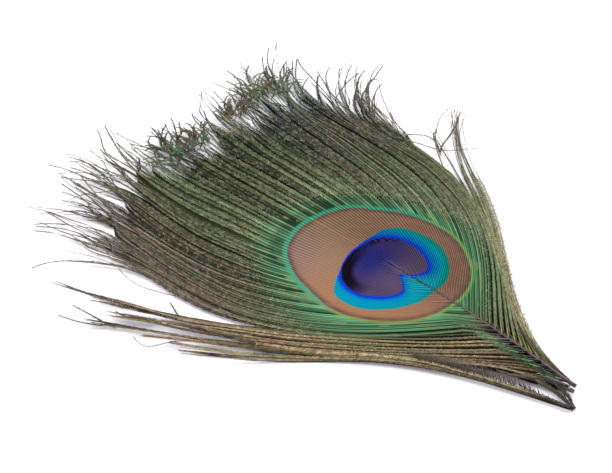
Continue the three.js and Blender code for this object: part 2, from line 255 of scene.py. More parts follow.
# The eye's outlines, each from its few turning points in plan, joined by a smooth curve.
EYE_CENTRE = np.array([-1.0, 57.5])
RING_SHIFT = np.array([-0.4, -0.4])
POOL_SHIFT = np.array([-0.8, -0.8])
RING_OUTLINE = [
    (-4.2, 82.3), (0.5, 82.1), (5.5, 80.7), (10.2, 78.0), (14.4, 72.2), (18.2, 65.4), (19.7, 57.5),
    (19.2, 51.2), (15.5, 44.0), (10.2, 38.5), (4.3, 36.1), (-3.0, 36.2), (-9.2, 38.5), (-14.7, 43.3),
    (-19.0, 49.8), (-20.9, 57.5), (-19.8, 64.6), (-17.0, 73.4), (-12.4, 79.4), (-8.0, 81.6),
]
POOL_OUTLINE = [
    (-3.4, 66.8), (0.6, 67.1), (5.2, 66.8), (9.4, 66.3), (12.6, 63.8), (14.6, 57.5), (13.8, 51.2),
    (10.4, 46.2), (5.4, 43.0), (0.4, 42.6), (-5.2, 43.3), (-10.4, 46.3), (-14.8, 51.0), (-16.5, 56.5),
    (-15.6, 60.6), (-12.8, 62.7), (-9.0, 64.5),
]
HEART_OUTLINE = [
    (-3.2, 66.4), (1.5, 66.4), (6.2, 65.0), (9.0, 61.6), (9.6, 57.0), (8.0, 51.8), (5.6, 49.1),
    (3.4, 48.9), (1.4, 50.6), (-0.7, 52.9), (-2.2, 50.8), (-4.0, 48.7), (-6.6, 49.1), (-9.8, 51.8),
    (-12.1, 56.5), (-11.4, 61.2), (-8.2, 64.6),
]

# --- Stage ---

PAINT_DEPTH = (0.85, 0.85, 0.85, 1.0)
FIELD_DEPTH = 0.85  # how far a field's colour covers the olive
FLOOR_HALF = 1.5  # metres
CAMERA_AZIMUTH = -48.0
CAMERA_ELEVATION = 42.0
CAMERA_DISTANCE = 500.0
CAMERA_TARGET = np.array([-4.2, 79.95, 0.0])
CAMERA_LENS = 117.65


# --- Numbers ---


def smooth(value, low, high):
    """0 at low, 1 at high, with a smooth rise between them."""
    t = np.clip((np.asarray(value, float) - low) / (high - low), 0.0, 1.0)
    return t * t * (3.0 - 2.0 * t)


def unit(vectors):
    return vectors / np.maximum(np.linalg.norm(vectors, axis=-1, keepdims=True), 1e-9)


def run_lengths(lines):
    """The distance along each line, at every point."""
    steps = np.linalg.norm(np.diff(lines, axis=-2), axis=-1)
    return np.concatenate([np.zeros((*steps.shape[:-1], 1)), np.cumsum(steps, axis=-1)], axis=-1)


def sampled(values, knots, at):
    """Rows of values that stand at the knots, looked up at other places."""
    return np.stack([np.interp(at, knots, column) for column in values.T], axis=1)


def rightward(lines):
    """The direction to the right of each plan line, at every point."""
    along = unit(np.gradient(lines, axis=-2))
    return np.stack([along[..., 1], -along[..., 0]], axis=-1)


def rest_height(x, y):
    across = x / ARCH_HALF_WIDTH
    along = (y - ARCH_CENTRE_Y) / ARCH_HALF_LENGTH
    return ARCH_HEIGHT * np.maximum(0.0, 1.0 - across**2 - along**2)


def shaft_x(y):
    return -SHAFT_BOW * np.maximum(0.0, 1.0 - np.asarray(y, float) / SHAFT_BOW_LENGTH) ** 1.5


class Outline:
    """A closed outline round the eye's centre, as a radius at every angle."""

    def __init__(self, points, shift):
        spokes = np.array(points) + shift - EYE_CENTRE
        angles = np.arctan2(spokes[:, 1], spokes[:, 0])
        order = np.argsort(angles)
        self.angles = angles[order]
        self.radii = np.linalg.norm(spokes, axis=1)[order]
        rise = np.roll(self.radii, -1) - np.roll(self.radii, 1)
        self.slopes = rise / ((np.roll(self.angles, -1) - np.roll(self.angles, 1)) % math.tau)

    def outside(self, x, y):
        """Distance outside the outline along the spoke, below 0 inside it."""
        east, north = x - EYE_CENTRE[0], y - EYE_CENTRE[1]
        angle = np.arctan2(north, east)
        after = np.searchsorted(self.angles, angle) % len(self.angles)
        before = (after - 1) % len(self.angles)
        width = (self.angles[after] - self.angles[before]) % math.tau
        t = ((angle - self.angles[before]) % math.tau) / width
        radius = (
            (2 * t**3 - 3 * t**2 + 1) * self.radii[before]
            + (t**3 - 2 * t**2 + t) * self.slopes[before] * width
            + (3 * t**2 - 2 * t**3) * self.radii[after]
            + (t**3 - t**2) * self.slopes[after] * width
        )
        return np.hypot(east, north) - radius


ring = Outline(RING_OUTLINE, RING_SHIFT)
pool = Outline(POOL_OUTLINE, POOL_SHIFT)
heart = Outline(HEART_OUTLINE, POOL_SHIFT)


# --- The barbs' lines ---


def root_points(side, stations):
    on_shaft = np.stack([shaft_x(stations) + side * 0.25, stations], axis=1)
    share = np.clip(-stations / STRIP_STATIONS, 0.0, 1.0)[:, None]
    on_strip = STRIP_START + (STRIP_END - STRIP_START) * share
    return np.where(stations[:, None] >= 0, on_shaft, on_strip)


def leans_along(leans, t):
    """Cubic through four evenly spaced leans of each barb."""
    u = 3.0 * t
    shares = (
        (1 - u) * (2 - u) * (3 - u) / 6,
        u * (2 - u) * (3 - u) / 2,
        u * (u - 1) * (3 - u) / 2,
        u * (u - 1) * (u - 2) / 6,
    )
    return sum(lean[:, None] * share for lean, share in zip(leans, shares))


def slow_noise(stations, period, rng):
    """A smooth random curve over the stations, about -1 to 1."""
    knots = np.arange(-12.0, 62.0, period)
    return np.interp(stations, knots, rng.normal(0.0, 0.6, len(knots)))


def guide_stations(side, stations):
    """The stations to look up in the guides, which jump at the slits."""
    found, looked_up = [stations.min()], [stations.min()]
    for station, below, above in SLITS[side]:
        found += [station - 0.01, station, above + 1.0]
        looked_up += [below, above, above + 1.0]
    return np.interp(stations, found + [SHAFT_LENGTH], looked_up + [SHAFT_LENGTH])


def strands_of(side, stations, rng):
    """The number of each barb's strand, and the barb's place across it from -1 to 1."""
    numbers, offsets = [], []
    ends = [slit[0] for slit in SLITS[side]] + BREAKS[side] + [stations[-1] - 1.0]
    while len(numbers) < len(stations):
        first = stations[len(numbers)]
        size = LOW_STRAND_SIZE if first < LOW_STATION else int(rng.choice(STRAND_SIZES))
        end = max(station for station in ends if station < first)
        size = min(size, int(np.sum(stations[len(numbers) :] > end)))
        numbers += [numbers[-1] + 1 if numbers else 0] * size
        offsets += list(np.linspace(-1.0, 1.0, size) if size > 1 else [0.0])
    return np.array(numbers), np.array(offsets)


def barb_lines(side, guides, stations, strands, rng):
    """Plan lines of the barbs, as an array of (barb, point, 2)."""
    count, groups = len(stations), strands.max() + 1
    looked_up = guide_stations(side, stations)
    table = np.array(guides, float)[::-1]
    length, *leans, curl = (np.interp(looked_up, table[:, 0], column) for column in table.T[1:])
    bunched = stations < BUNCH_STATIONS[side]
    wild = np.where(bunched, BUNCHED_WILDNESS, 1.0)
    length = length * (1.0 + rng.normal(0.0, 0.02, groups)[strands] + wild * rng.normal(0.0, 0.04, count))
    curl = curl + wild * (rng.normal(0.0, 7.0, groups)[strands] + rng.normal(0.0, 17.0, count))
    t = (np.arange(BARB_POINTS - 1) + 0.5) / (BARB_POINTS - 1)
    lean = leans_along(leans, t)
    lean += curl[:, None] * np.clip((t - CURL_START) / (1 - CURL_START), 0, 1) ** 1.5
    phase = rng.uniform(0.0, math.tau, (count, 1))
    kink = wild[:, None] * rng.normal(0.0, 10.0, (count, 1)) * smooth(t, 0.66, 0.95)
    heading = np.radians(lean + kink * np.sin(math.tau * KINKS * t + phase))
    step = length[:, None] / (BARB_POINTS - 1)
    moves = np.stack([side * np.sin(heading) * step, np.cos(heading) * step], axis=2)
    start = root_points(side, stations)[:, None, :]
    lines = np.concatenate([start, start + np.cumsum(moves, axis=1)], axis=1)
    lines = evened(side, lines + sway(lines, stations, wild, rng), stations)
    kept = np.where(bunched, bunch_lengths(guides, looked_up, strands, rng), 1.0)
    return np.array([resampled(line, share * (BARB_POINTS - 1)) for line, share in zip(lines, kept)])


def resampled(line, last):
    """The line up to its point number last, which may lie between two points, with all its points."""
    return sampled(line, np.arange(BARB_POINTS), np.linspace(0.0, last, BARB_POINTS))


def bunch_lengths(guides, stations, strands, rng):
    """Shares of the full length: strands with a guide in them keep it, those between end short."""
    shares = np.empty(len(stations))
    for number in range(strands.max() + 1):
        members = stations[strands == number]
        led = any(members.min() - 0.6 <= guide[0] <= members.max() + 0.6 for guide in guides)
        shares[strands == number] = 1.0 if led else rng.uniform(0.74, 0.92)
    return shares


def sway(lines, stations, wild, rng):
    """Sideways waves of the barbs outside the eye, much the same for neighbours."""
    count = len(lines)
    phase = math.pi * slow_noise(stations, 7.0, rng) + rng.normal(0.0, 0.4, count)
    reach = wild * (slow_noise(stations, 4.0, rng) + rng.normal(0.0, 0.25, count))
    wave = np.sin(math.tau * WAVES * ALONG + phase[:, None])
    return rightward(lines) * (reach[:, None] * smooth(ALONG, 0.4, 0.8) * wave)[..., None]


def evened(side, lines, stations):
    """Evens out the gaps between the barbs of the fan, up to near their tips."""
    made = lines.copy()
    fan = np.flatnonzero(stations > BUNCH_STATIONS[side])
    hold = 0.5 * (1.0 - smooth(ALONG, 0.72, 0.92))[None, :, None]
    for _ in range(EVENING_ROUNDS):
        middle = (made[fan[:-2]] + made[fan[2:]]) / 2
        made[fan[1:-1]] += hold * (middle - made[fan[1:-1]])
    return made


def laid_along_shaft(lines, stations):
    """Lets the feet of the lower left barbs run along the shaft before they turn out."""
    run = FOOT_RUN * (1.0 - smooth(stations, 24.0, 38.0)) * (stations > STEM_STATIONS[1])
    run = np.clip(run, 0.0, np.maximum(stations - 0.4, 0.0))
    shift = root_points(-1.0, stations - run) - lines[:, 0]
    fade = 1.0 - smooth(run_lengths(lines)[:, -1:] * ALONG, 0.0, FOOT_REACH)
    return lines + shift[:, None, :] * fade[..., None]


def laid_along_stem(lines, stations):
    """Starts the lowest left barbs that are not on the strip along the stem beside the shaft."""
    made = lines.copy()
    stem = np.array(STEMS[0][0])
    for index in np.flatnonzero((stations > STEM_STATIONS[0]) & (stations < STEM_STATIONS[1])):
        at = run_lengths(lines[index])
        start = 0.4 * (STEM_STATIONS[1] - stations[index])
        on_stem = sampled(stem, run_lengths(stem), at + start)
        made[index] = on_stem + (lines[index] - on_stem) * smooth(at, *STEM_REACH)[:, None]
    return made


def laid_along_edge(lines, stations):
    """Packs the lowest left barbs along the feather's edge, so that a gap stays open above them."""
    made = lines.copy()
    host = lines[np.argmin(np.abs(stations - EDGE_STATION))]
    host_at = run_lengths(host)
    for index in np.flatnonzero((stations > EDGE_STATION) & (stations < STEM_STATIONS[0])):
        at = run_lengths(lines[index])
        offset = EDGE_PACKING * (stations[index] - EDGE_STATION) * smooth(host_at, 0.0, 8.0)
        on_edge = sampled(host + rightward(host) * offset[:, None], host_at, at)
        made[index] = on_edge + (lines[index] - on_edge) * smooth(at, *EDGE_REACH)[:, None]
    return made


def kept_inside(lines):
    """Ends the barbs that would reach past the plan's limits."""
    made = lines.copy()
    low, high = np.array(PLAN_LIMITS)
    past = np.any((lines < low) | (lines > high), axis=2)
    for index in np.flatnonzero(past.any(axis=1)):
        made[index] = resampled(lines[index], int(np.argmax(past[index])) - 1)
    return made


def gathered(side, lines, strands, stations, rng):
    """Draws the barbs of each strand together outside the eye, and at the foot of the shaft."""
    made = lines.copy()
    splay = 1.0 - 0.9 * smooth(ALONG, 0.6, 0.9)
    for number in range(strands.max() + 1):
        members = np.flatnonzero(strands == number)
        station = stations[members[0]]
        middle = lines[members].mean(axis=0)
        loose = smooth(ring.outside(middle[:, 0], middle[:, 1]), 1.0, 16.0)
        foot = (1.0 - smooth(station, 24.0, 32.0)) * (1.0 - smooth(ALONG, 0.22, 0.45))
        closeness = rng.uniform(0.05, 0.3) * splay
        if station < BUNCH_STATIONS[side]:
            closeness = BUNCH_CLOSENESS
        if side > 0 and station < SLITS[side][0][0]:
            closeness = EDGE_CLOSENESS
        pull = np.maximum(closeness * loose, FOOT_CLOSENESS * foot)[None, :, None]
        made[members] += (middle - lines[members]) * pull
    return made


def stray_lines(strays):
    """Stray barbs as plan lines, rounded through their points."""
    lines = []
    for _, points in strays:
        points = np.array(points)
        at = run_lengths(points)
        line = sampled(points, at, np.linspace(0.0, at[-1], BARB_POINTS))
        for _ in range(ROUNDING_ROUNDS):
            line[1:-1] += 0.4 * (line[:-2] + line[2:] - 2 * line[1:-1])
        lines.append(line)
    return np.array(lines)


def tuft_strays(side, rng):
    """Short curled barbs, listed like the strays, that stand in a tuft where the tips fold over."""
    strays = []
    for (x, y), size in TUFTS:
        if side * x < 0.0:
            continue
        outward = math.atan2(y - EYE_CENTRE[1], x - EYE_CENTRE[0])
        for _ in range(TUFT_BARBS):
            start = np.array([x, y]) + rng.normal(0.0, 0.5 * size, 2)
            headings = outward + rng.normal(0.0, 0.6) + rng.normal(0.0, 0.35) * np.arange(5)
            moves = np.stack([np.cos(headings), np.sin(headings)], axis=1) * size * rng.uniform(0.2, 0.4)
            strays.append((rng.uniform(0.5, 2.5), list(start + np.cumsum(moves, axis=0))))
    return strays


def strand_looks(lines, strands, offsets, stations, rng):
    """The height over the vane, the lift of the tips and the tone, which vary from strand to strand. The
    tone carries a painted highlight along the crown of each strand and painted shade along its sides.
    """
    groups = strands.max() + 1
    loose = smooth(ring.outside(lines[..., 0], lines[..., 1]), 1.0, 14.0)
    crown = (1.0 - 0.7 * np.abs(offsets))[:, None]
    layer = (0.45 * crown - 0.2 + rng.normal(0.0, 0.2, groups)[strands][:, None]) * loose
    swell = rng.uniform(0.0, 1.0, groups)[strands] ** 2 + rng.uniform(0.0, 0.4, len(stations))
    lift = TIP_LIFT * swell[:, None] * smooth(ALONG[None, :], 0.68, 1.05) ** 1.5
    tone = MEAN_TONE + rng.normal(0.0, 0.2, len(stations))[:, None]
    drift = rng.normal(0.0, 0.12, groups)[strands][:, None]
    # painted highlight on each strand's crown and painted shade on its sides, stronger on the low strands
    painted_crown_shading = 0.34 + 0.8 * (stations < LOW_STATION)[:, None]
    return layer, lift, tone + (drift + painted_crown_shading * (crown - 0.55)) * (0.2 + 0.8 * loose)


class Barbs:
    """The barbs of one side: their centre lines in space, their directions and their colour guides.

    The regular barbs come first, in order down the shaft, and the stray ones after them.
    """

    def __init__(self, side, guides, lowest, strays, rng):
        self.side = side
        stations = np.arange(SHAFT_LENGTH - 0.1, lowest, -BARB_PITCH)
        self.regular, extra = len(stations), len(strays)
        self.count = self.regular + extra
        self.stations = np.concatenate([stations, np.full(extra, STRAY_STATION)])
        strands, offsets = strands_of(side, stations, rng)
        self.even = barb_lines(side, guides, stations, strands, rng)
        if side < 0:
            for laid in (laid_along_shaft, laid_along_stem, laid_along_edge):
                self.even = laid(self.even, stations)
        lines = kept_inside(gathered(side, self.even, strands, stations, rng))
        layer, lift, tone = strand_looks(lines, strands, offsets, stations, rng)
        heights = np.array([height for height, _ in strays])[:, None]
        stray_tone = np.repeat(rng.uniform(0.2, 0.6, (extra, 1)), BARB_POINTS, axis=1)
        self.tone = np.clip(np.concatenate([tone, stray_tone]), 0.0, 1.0)
        self._place(
            np.concatenate([lines, stray_lines(strays)]),
            np.concatenate([layer, np.full((extra, BARB_POINTS), STRAY_LAYER)]),
            np.concatenate([lift, heights * smooth(ALONG[None, :], 0.0, 0.8)]),
        )
        x, y = self.points[..., 0], self.points[..., 1]
        self.fields = colour_fields(side, self.stations[:, None], x, y, self.arc)
        self.fields *= rng.uniform(0.5, 1.4, (self.count, 1, 3))
        self._mark_strands(np.concatenate([offsets, np.zeros(extra)]))

    def _place(self, lines, layer, lift):
        level = rest_height(lines[..., 0], lines[..., 1]) + VANE_LEVEL + layer
        self.points = np.concatenate([lines, (np.maximum(level, LOWEST_BARB) + lift)[..., None]], axis=2)
        self.along = unit(np.gradient(self.points, axis=1))
        self.across = unit(np.cross(self.along, [0.0, 0.0, 1.0]))
        self.up = unit(np.cross(self.across, self.along))
        self.arc = run_lengths(self.points)
        across = self.across[1 : self.regular, :, :2]
        gaps = np.abs(np.sum(np.diff(self.even, axis=0) * across, axis=2)) / 2
        # Half the gap to the next barb, towards the tip side and towards the base side.
        self.spacing = np.concatenate([gaps[:1], gaps]), np.concatenate([gaps, gaps[-1:]])

    def _mark_strands(self, offsets):
        """Finds the first barb of each strand, and the green patches on the last of the low left ones."""
        self.leads = (offsets < -0.99) & (self.stations > STEM_STATIONS[0])
        low = (self.stations > STEM_STATIONS[1]) & (self.stations < LOW_STATION)
        self.patches = np.flatnonzero((offsets > 0.99) & low) if self.side < 0 else []
        for index in self.patches:
            patch = (self.arc[index] > 1.0) & (self.arc[index] < PATCH_REACH)
            self.fields[index, patch, 1] = PATCH_GREEN
            self.tone[index, patch] = PATCH_TONE

    def web_share(self):
        """1 where the barbules lie flat and close, 0 where they stand loose."""
        x, y = self.points[..., 0], self.points[..., 1]
        reach = 1.0 - 0.45 * smooth(x, -2.0, 10.0)
        by_eye = 1.0 - smooth(ring.outside(x, y) / reach, 3.0, 15.0)
        by_eye[self.regular :] = 0.0
        return by_eye


# --- Mesh building ---


def in_scene(name, data):
    """A new object, linked to the scene."""
    made = bpy.data.objects.new(name, data)
    bpy.context.scene.collection.objects.link(made)
    return made


class Surface:
    """Collects vertices with their colour guides, then makes one object of them."""

    def __init__(self):
        self.faces = []
        self.points = []
        self.total = 0

    def add(self, vertices, faces, places, tones, fields, uvs):
        """faces index into vertices; places is plan x, y and distance along the barb in mm; tones is
        the barb's tone, the barbule's tone and the share of the way out from the rib; fields is how
        far the barb turns gold, teal and brown there."""
        self.faces.append(faces + self.total)
        self.points.append((vertices, places, tones, fields, uvs))
        self.total += len(vertices)

    def build(self, name, material, node, smooth_faces):
        vertices, places, tones, fields, uvs = (np.concatenate(parts) for parts in zip(*self.points))
        faces = np.concatenate(self.faces)
        mesh = bpy.data.meshes.new(name)
        mesh.vertices.add(len(vertices))
        mesh.vertices.foreach_set("co", ((vertices + PLAN_ORIGIN) * MM).ravel())
        mesh.loops.add(faces.size)
        mesh.loops.foreach_set("vertex_index", faces.ravel().astype(np.int32))
        mesh.polygons.add(len(faces))
        mesh.polygons.foreach_set("loop_start", np.arange(0, faces.size, faces.shape[1], dtype=np.int32))
        mesh.polygons.foreach_set("use_smooth", np.full(len(faces), smooth_faces))
        mesh.update(calc_edges=True)
        zones = np.stack([line.outside(*places.T[:2]) for line in (ring, pool, heart)], axis=1)
        guides = {"place": places, "tones": tones, "zones": zones, "fields": fields}
        for guide, values in guides.items():
            data = mesh.attributes.new(guide, "FLOAT_VECTOR", "POINT").data
            data.foreach_set("vector", values.astype(np.float32).ravel())
        mesh.uv_layers.new(name="OFBake").data.foreach_set("uv", uvs[faces.ravel()].ravel())
        mesh.materials.append(material)
        mesh.validate()
        piece = in_scene(name, mesh)
        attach(piece, "root")
        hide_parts(node)


def colour_fields(side, station, x, y, arc):
    """How far a barb turns gold, teal and brown, each from 0 to 1."""
    if side < 0:
        low_foot = (1.0 - smooth(station, 4.0, 15.0)) * (1.0 - smooth(arc, 22.0, 46.0))
        gold = smooth(-station, -27.0, -17.0) * smooth(arc, 4.0, 12.0) * (1.0 - 0.35 * low_foot)
        brown = np.maximum(smooth(-x, 16.0, 32.0) * smooth(y, 55.0, 85.0), 0.7 * low_foot)
        teal = 0.25 * smooth(y, 112.0, 130.0) * smooth(x, -16.0, -4.0)
    else:
        gold = 0.55 * smooth(-station, -22.0, -6.0) * (1.0 - 0.7 * smooth(arc, 35.0, 65.0))
        brown = 0.55 * smooth(x, 10.0, 30.0) * smooth(y, 80.0, 100.0)
        edge = smooth(-station, -9.0, -3.0) * smooth(arc, 12.0, 20.0) * (1.0 - smooth(arc, 34.0, 48.0))
        teal = np.maximum(smooth(x, 4.0, 30.0) * smooth(y, 96.0, 122.0), 0.8 * edge)
    for (tuft_x, tuft_y), size in TUFTS:
        teal = np.maximum(teal, 1.3 * np.exp(-((x - tuft_x) ** 2 + (y - tuft_y) ** 2) / size**2))
    return np.stack(np.broadcast_arrays(gold, teal, brown), axis=-1).copy()


def runs_of(wanted):
    """The stretches of two or more neighbouring points that are wanted."""
    rows = np.flatnonzero(wanted)
    runs = np.split(rows, np.flatnonzero(np.diff(rows) > 1) + 1)
    return [run for run in runs if len(run) > 1]


def add_web(surface, barbs):
    """Flat barbules in the eye: a ribbon between each rib and its neighbours, creased at the rib."""
    share = barbs.web_share()
    for index in range(barbs.regular):
        for run in runs_of(share[index] > 0.02):
            spread = share[index, run] ** 0.5
            widths = [np.clip(gap[index, run] * WEB_OVERLAP, 0.1, 0.6) * spread for gap in barbs.spacing]
            add_ribbon(surface, barbs, index, run, barbs.points[index, run], widths, WEB_SHADE)


def underlay_span(side, station):
    """Where a barb's lower barbules start and end, in mm along it."""
    first, last = UNDERLAY_SPAN
    if side > 0 and station < SLITS[side][0][0]:
        last = 20.0 if station < OUTERMOST_UNDERLAY else 45.0
    if side < 0 and station < STEM_STATIONS[0]:
        first = 32.0
    if side < 0 and 0.0 < station - SLITS[side][0][0] < 1.1:
        last = 45.0
    return first, last


def add_underlay(surface, barbs, rng):
    """The lower barbules outside the eye: a layer of overlapping ribbons under the strands, dark partly in
    their own colour and partly with painted shade for the gaps between the strands.
    """
    side = barbs.side
    for index in range(barbs.regular):
        line, arc, station = barbs.even[index], barbs.arc[index], barbs.stations[index]
        if side < 0 and station < LOWEST_UNDERLAY:
            continue
        bunched = station < BUNCH_STATIONS[side]
        end = rng.uniform(0.84, 0.96)
        if bunched:
            end = rng.uniform(0.6, 0.8)
        first, last = underlay_span(side, station)
        outside = ring.outside(line[:, 0], line[:, 1]) > 0.2
        fade = 1.0 - 0.97 * smooth(ALONG, end - 0.2, end)
        if first > UNDERLAY_SPAN[0]:
            fade = fade * smooth(arc, first - 1.0, first + 9.0)
        widest = 0.4 if bunched and side > 0 else 1.3
        for run in runs_of(outside & (arc > first) & (arc < last) & (ALONG < end)):
            level = rest_height(line[run, 0], line[run, 1]) + VANE_LEVEL - UNDERLAY_DEPTH
            centre = np.column_stack([line[run], level + rng.uniform(-0.06, 0.06)])
            widths = [
                np.clip(gap[index, run] * UNDERLAY_OVERLAP, 0.2, widest) * fade[run]
                for gap in barbs.spacing
            ]
            add_ribbon(surface, barbs, index, run, centre, widths, 0.0)
    if side < 0:
        add_downy_strip(surface)


def add_downy_strip(surface):
    """The downy barbules under the left feet, along the shaft, dark partly in their own colour and partly
    with painted shade.
    """
    y = np.linspace(2.5, 40.0, 40)
    inner = np.column_stack([shaft_x(y), y])
    width = np.interp(y, [2.5, 6.0, 12.0, 32.0, 40.0], [0.3, 1.2, 2.8, 2.4, 0.4])
    outer = inner + np.column_stack([-0.9 * width, 0.35 * width])
    plan = np.concatenate([inner, outer])
    level = rest_height(plan[:, 0], plan[:, 1]) + VANE_LEVEL - UNDERLAY_DEPTH - 0.08
    row = np.arange(len(y) - 1)
    faces = np.stack([row, row + 1, row + len(y) + 1, row + len(y)], axis=1)
    flat = np.zeros((len(plan), 3))
    uvs = np.column_stack([np.tile(y, 2) / UV_LENGTH, np.repeat([0.998, 0.9995], len(y))])
    surface.add(np.column_stack([plan, level]), faces, np.column_stack([plan, flat[:, 0]]), flat, flat, uvs)


def add_ribbon(surface, barbs, index, run, centre, widths, shade):
    """A strip along part of a barb, with its widths towards the tip side and the base side."""
    across = barbs.across[index, run] * barbs.side
    crease = RIBBON_CREASE * barbs.up[index, run]
    vertices = np.concatenate([
        centre - across * widths[0][:, None] - crease,
        centre + crease,
        centre + across * widths[1][:, None] - crease,
    ])
    count = len(run)
    row = np.arange(count - 1)
    left = np.stack([row, row + count, row + count + 1, row + 1], axis=1)
    faces = np.concatenate([left, left + count])
    if barbs.side < 0:
        faces = faces[:, ::-1]
    arc = np.tile(barbs.arc[index, run], 3)
    way_out = np.repeat([-1.0, 0.0, 1.0], count)
    tones = np.column_stack([np.tile(barbs.tone[index, run], 3), np.full(3 * count, shade), abs(way_out)])
    fields = np.tile(barbs.fields[index, run], (3, 1))
    uvs = np.column_stack([arc / UV_LENGTH, (index + 0.5 + 0.46 * way_out) / barbs.count])
    surface.add(vertices, faces, np.column_stack([vertices[:, :2], arc]), tones, fields, uvs)


def add_ribs(surface, barbs):
    """The rib of every barb: a fine three-sided rod that tapers to its tip."""
    count = barbs.count
    leads = barbs.leads[:, None, None]
    foot = 0.18 * leads * (1.0 - smooth(barbs.arc[:, :, None], 2.0, 9.0))
    radius = RIB_RADIUS * (1.0 - 0.35 * ALONG[None, :, None]) + foot
    vertices = np.stack(
        [
            barbs.points + radius * (math.cos(turn) * barbs.across + math.sin(turn) * barbs.up)
            for turn in np.radians([90.0, 210.0, 330.0])
        ],
        axis=2,
    )
    shape = vertices.shape[:3]
    corner = np.arange(vertices.size // 3).reshape(shape)
    here, ahead = corner[:, :-1], corner[:, 1:]
    beside_here, beside_ahead = np.roll(here, -1, axis=2), np.roll(ahead, -1, axis=2)
    faces = np.stack([here, beside_here, beside_ahead, ahead], axis=-1).reshape(-1, 4)
    arc = barbs.arc[:, :, None]
    pinkish = 1.0 if barbs.side < 0 else 0.0
    band = (np.arange(count)[:, None, None] + 0.5 + 0.4 * np.array([-1.0, 0.0, 1.0])) / count
    surface.add(
        vertices.reshape(-1, 3),
        faces,
        columns(shape, vertices[..., 0], vertices[..., 1], arc),
        columns(shape, barbs.tone[:, :, None], pinkish, leads),
        np.repeat(barbs.fields[:, :, None, :], 3, axis=2).reshape(-1, 3),
        columns(shape, arc / UV_LENGTH, band),
    )


def columns(shape, *values):
    """Each value spread over the shape and laid flat, side by side."""
    return np.stack([np.broadcast_to(value, shape).ravel() for value in values], axis=1).astype(float)


def add_barbules(surface, barbs, indices, rng):
    """Loose barbules: two rows of narrow bent blades along each barb."""
    share = barbs.web_share()
    for band, index in enumerate(indices):
        arc = barbs.arc[index]
        at = np.arange(0.6, arc[-1] - 0.2, BARBULE_PITCH)
        at = np.repeat(at + rng.uniform(-0.06, 0.06, len(at)), 2)
        side = np.tile([-1.0, 1.0], len(at) // 2)
        wanted = np.interp(at, arc, share[index]) < rng.uniform(0.15, 0.85, len(at))
        at, side = at[wanted], side[wanted]
        add_blades(surface, barbs, index, at, side, (band + 0.5) / len(indices), len(indices), rng)


def blade_lengths(barbs, index, at):
    """The barbules' full lengths, by the room beside the barb; they are shorter at both of its ends."""
    arc, side = barbs.arc[index], barbs.side
    t = at / arc[-1]
    if index >= barbs.regular:
        return BARBULE_LENGTH * (0.36 - 0.16 * t) * (2.0 if arc[-1] < SHORT_BARB else 1.0)
    bunched = barbs.stations[index] < BUNCH_STATIONS[side]
    longest, loss, start, end = BUNCH_BARBULES[side] if bunched else FAN_BARBULES
    inner, outer = barbs.spacing
    room = 2.0 * np.interp(at, arc, np.minimum(inner[index], outer[index]))
    length = np.clip(BARBULE_SPREAD * room, 0.45, longest) * BARBULE_LENGTH
    foot = 0.0 if side < 0 else 0.5
    length *= foot + (1.0 - foot) * smooth(at, 0.5, 5.5)
    if index in barbs.patches:
        length = np.where(at < PATCH_REACH, np.maximum(length, BARBULE_LENGTH), length)
    return length * (1.0 - loss * smooth(t, start, end))


def blade_ways(barbs, index, at, side, lean, rng):
    """The places where the barbules grow, the directions they take, and those across their flat."""
    arc = barbs.arc[index]
    base = sampled(barbs.points[index], arc, at)
    along, across, up = (
        unit(sampled(axis[index], arc, at)) for axis in (barbs.along, barbs.across, barbs.up)
    )
    across = across * side[:, None]
    lean = np.radians(lean)[:, None]
    rise = np.radians(BARBULE_RISE + rng.normal(0.0, 8.0, len(at)))[:, None]
    way = np.cos(lean) * along + np.sin(lean) * (np.cos(rise) * across + np.sin(rise) * up)
    flat = unit(np.cos(lean) * across - np.sin(lean) * along)
    twist = rng.normal(0.0, 0.3, len(at))[:, None]
    return base, way, flat * np.cos(twist) + np.cross(way, flat) * np.sin(twist), up


def picked(at, side, reach, share, rng):
    """A random share of the barbules on the base side of the barb, over its reach."""
    return (side > 0) & (at > reach[0]) & (at < reach[1]) & (rng.uniform(0.0, 1.0, len(at)) < share)


